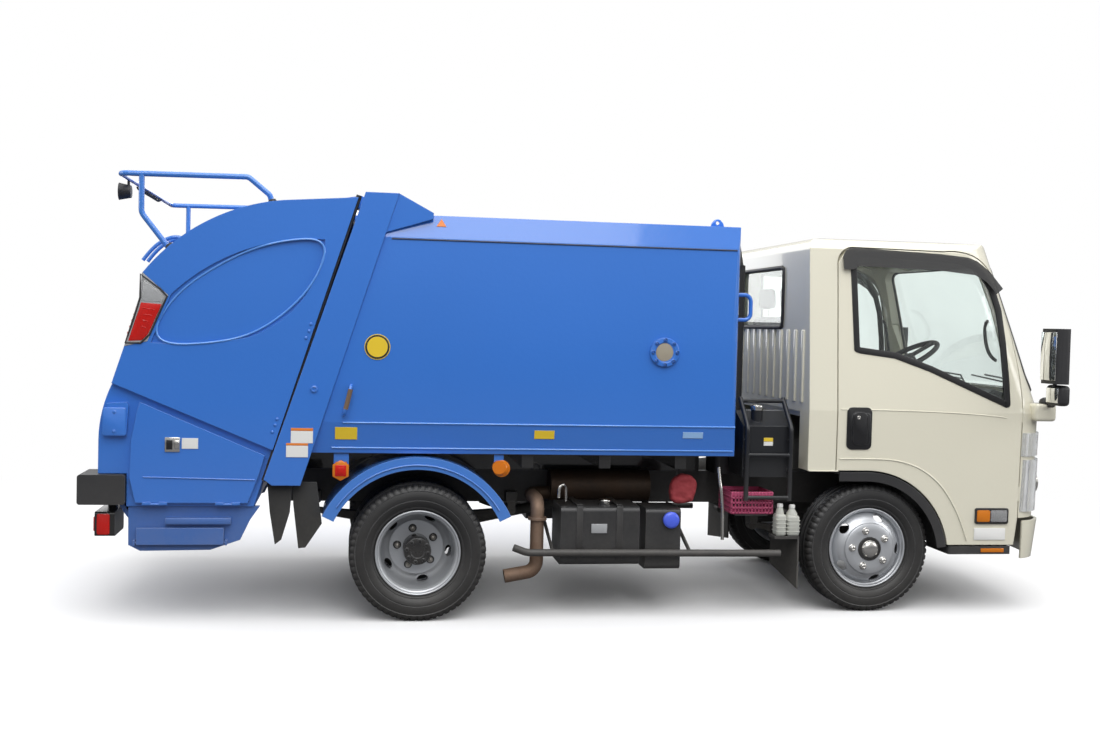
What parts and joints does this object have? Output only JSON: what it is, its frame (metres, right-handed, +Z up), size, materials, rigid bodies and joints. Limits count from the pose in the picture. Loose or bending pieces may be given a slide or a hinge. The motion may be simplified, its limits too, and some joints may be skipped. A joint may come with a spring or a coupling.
{
  "type": "rear-loading refuse truck",
  "caption": "Rear-loading refuse truck with tilting cab, opening doors, steered and twin wheels, lifting tailgate with rotor and push plate, lid, covers and folding steps.",
  "frame": {"origin": "on the ground below the middle of the length and width", "axes": "+X forward, +Y to the truck's left, +Z up"},
  "size_m": [5.24, 2.18, 2.2498],
  "materials": {
    "frame_black": "satin",
    "body_blue": "gloss",
    "gate_blue": "gloss",
    "ring_blue": "gloss",
    "tub_blue": "satin",
    "packer_steel": "satin",
    "cover_blue": "gloss",
    "rack_blue": "gloss",
    "fender_blue": "gloss",
    "lamp_red": "gloss",
    "lamp_clear": "gloss",
    "lens_orange": "gloss",
    "buffer_rubber": "matte",
    "cab_cream": "gloss",
    "cab_glass": "gloss",
    "moulding_black": "matte",
    "bumper_cream": "gloss",
    "grille_grey": "satin",
    "seat_fabric": "matte",
    "dash_grey": "matte",
    "wheel_black": "matte",
    "mirror_black": "satin",
    "tyre": "matte",
    "rim_silver": "satin",
    "axle_black": "satin",
    "spring_steel": "satin",
    "engine_cast": "matte",
    "exhaust_rust": "matte",
    "tank_black": "satin",
    "duct_black": "matte",
    "flap_rubber": "matte",
    "bag_red": "matte",
    "basket_pink": "satin",
    "bottle_white": "satin"
  },
  "bodies": {
    "chassis": {"frame_rails": "frame_black", "packer_body": "body_blue", "rear_ring": "ring_blue", "front_bumper": "bumper_cream", "front_axle": "axle_black", "rear_axle": "axle_black", "leaf_springs": "spring_steel", "engine_and_driveline": "engine_cast", "exhaust": "exhaust_rust", "side_tanks": "tank_black", "rear_fenders": "fender_blue", "side_guards": "frame_black", "front_mudflaps": "flap_rubber", "oil_tank": "tank_black", "air_intake": "duct_black", "body_fittings": "body_blue", "body_lenses": "lens_orange", "extinguisher_bag": "bag_red", "carry_basket": "basket_pink", "water_bottles": "bottle_white"},
    "cab": {"cab_shell": "cab_cream", "cab_glass": "cab_glass", "front_mudguards": "moulding_black", "entry_steps": "moulding_black", "seats": "seat_fabric", "dashboard": "dash_grey", "grille_panel": "grille_grey", "cab_lamps": "lamp_clear", "mirrors": "mirror_black"},
    "right_door": {"door_right": "cab_cream", "door_glass_right": "cab_glass"},
    "left_door": {"door_left": "cab_cream", "door_glass_left": "cab_glass"},
    "wheel_for_steering": {"steering_wheel": "wheel_black"},
    "tailgate": {"tailgate_shell": "gate_blue", "hopper_tub": "tub_blue", "tail_lamps": "lamp_red", "corner_buffers": "buffer_rubber", "roof_rack": "rack_blue", "work_lamp_and_camera": "moulding_black"},
    "rotor": {"packing_rotor": "packer_steel"},
    "pusher": {"push_plate": "packer_steel"},
    "lid": {"loading_lid": "gate_blue"},
    "right_cover": {"side_cover_right": "cover_blue"},
    "left_cover": {"side_cover_left": "cover_blue"},
    "right_step": {"side_step_right": "frame_black"},
    "left_step": {"side_step_left": "frame_black"},
    "right_knuckle": {"knuckle_right": "axle_black"},
    "left_knuckle": {"knuckle_left": "axle_black"},
    "track_rod": {"tie_rod": "axle_black"},
    "right_front_wheel": {"front_tyre_right": "tyre", "front_rim_right": "rim_silver"},
    "left_front_wheel": {"front_tyre_left": "tyre", "front_rim_left": "rim_silver"},
    "right_rear_wheels": {"rear_tyres_right": "tyre", "rear_rims_right": "rim_silver"},
    "left_rear_wheels": {"rear_tyres_left": "tyre", "rear_rims_left": "rim_silver"}
  },
  "joints": [
    {"name": "cab_tilt", "type": "hinge", "parent": "chassis", "child": "cab", "pos_m": [2.508, 0, 0.542], "axis": [0, 1, 0], "range_deg": [0, 45]},
    {"name": "door_right_swing", "type": "hinge", "parent": "cab", "child": "right_door", "pos_m": [2.39, -0.845, 1.2], "axis": [0, 0, 1], "range_deg": [0, 70]},
    {"name": "door_left_swing", "type": "hinge", "parent": "cab", "child": "left_door", "pos_m": [2.39, 0.845, 1.2], "axis": [0, 0, -1], "range_deg": [0, 70]},
    {"name": "steering", "type": "hinge", "parent": "chassis", "child": "right_knuckle", "pos_m": [1.523, -0.61, 0.352], "axis": [0, 0, 1], "range_deg": [-38, 38]},
    {"name": "steering_left", "type": "hinge", "parent": "chassis", "child": "left_knuckle", "pos_m": [1.523, 0.61, 0.352], "axis": [0, 0, 1], "range_deg": [-38, 38]},
    {"name": "track_rod_turn", "type": "hinge", "parent": "right_knuckle", "child": "track_rod", "pos_m": [1.373, -0.61, 0.25], "axis": [0, 0, 1], "range_deg": [-38, 38]},
    {"name": "steering_wheel_turn", "type": "hinge", "parent": "cab", "child": "wheel_for_steering", "pos_m": [1.858, -0.455, 1.39], "axis": [-0.5, 0, 0.866], "range_deg": [-760, 760]},
    {"name": "front_right_roll", "type": "hinge", "parent": "right_knuckle", "child": "right_front_wheel", "pos_m": [1.523, -0.71, 0.352], "axis": [0, 1, 0], "continuous": true},
    {"name": "front_left_roll", "type": "hinge", "parent": "left_knuckle", "child": "left_front_wheel", "pos_m": [1.523, 0.71, 0.352], "axis": [0, 1, 0], "continuous": true},
    {"name": "rear_right_roll", "type": "hinge", "parent": "chassis", "child": "right_rear_wheels", "pos_m": [-0.952, -0.705, 0.352], "axis": [0, 1, 0], "continuous": true},
    {"name": "rear_left_roll", "type": "hinge", "parent": "chassis", "child": "left_rear_wheels", "pos_m": [-0.952, 0.705, 0.352], "axis": [0, 1, 0], "continuous": true},
    {"name": "tailgate_lift", "type": "hinge", "parent": "chassis", "child": "tailgate", "pos_m": [-1.282, 0, 2.15], "axis": [0, 1, 0], "range_deg": [0, 85]},
    {"name": "rotor_turn", "type": "hinge", "parent": "tailgate", "child": "rotor", "pos_m": [-2.102, 0, 0.76], "axis": [0, 1, 0], "continuous": true},
    {"name": "push_plate_swing", "type": "hinge", "parent": "tailgate", "child": "pusher", "pos_m": [-1.732, 0, 1.65], "axis": [0, 1, 0], "range_deg": [-55, 8]},
    {"name": "lid_lift", "type": "hinge", "parent": "tailgate", "child": "lid", "pos_m": [-2.351, 0, 1.657], "axis": [0, 1, 0], "range_deg": [0, 90]},
    {"name": "cover_right_drop", "type": "hinge", "parent": "tailgate", "child": "right_cover", "pos_m": [-2.052, -0.934, 0.604], "axis": [1, 0, 0], "range_deg": [0, 90]},
    {"name": "cover_left_drop", "type": "hinge", "parent": "tailgate", "child": "left_cover", "pos_m": [-2.052, 0.934, 0.604], "axis": [-1, 0, 0], "range_deg": [0, 90]},
    {"name": "step_right_fold", "type": "hinge", "parent": "tailgate", "child": "right_step", "pos_m": [-2.13, -0.915, 0.411], "axis": [1, 0, 0], "range_deg": [0, 90]},
    {"name": "step_left_fold", "type": "hinge", "parent": "tailgate", "child": "left_step", "pos_m": [-2.13, 0.915, 0.411], "axis": [-1, 0, 0], "range_deg": [0, 90]}
  ],
  "couplings": [
    {"joint": "steering_left", "follows": "steering", "ratio": 1},
    {"joint": "track_rod_turn", "follows": "steering", "ratio": -1},
    {"joint": "steering_wheel_turn", "follows": "steering", "ratio": 20}
  ]
}
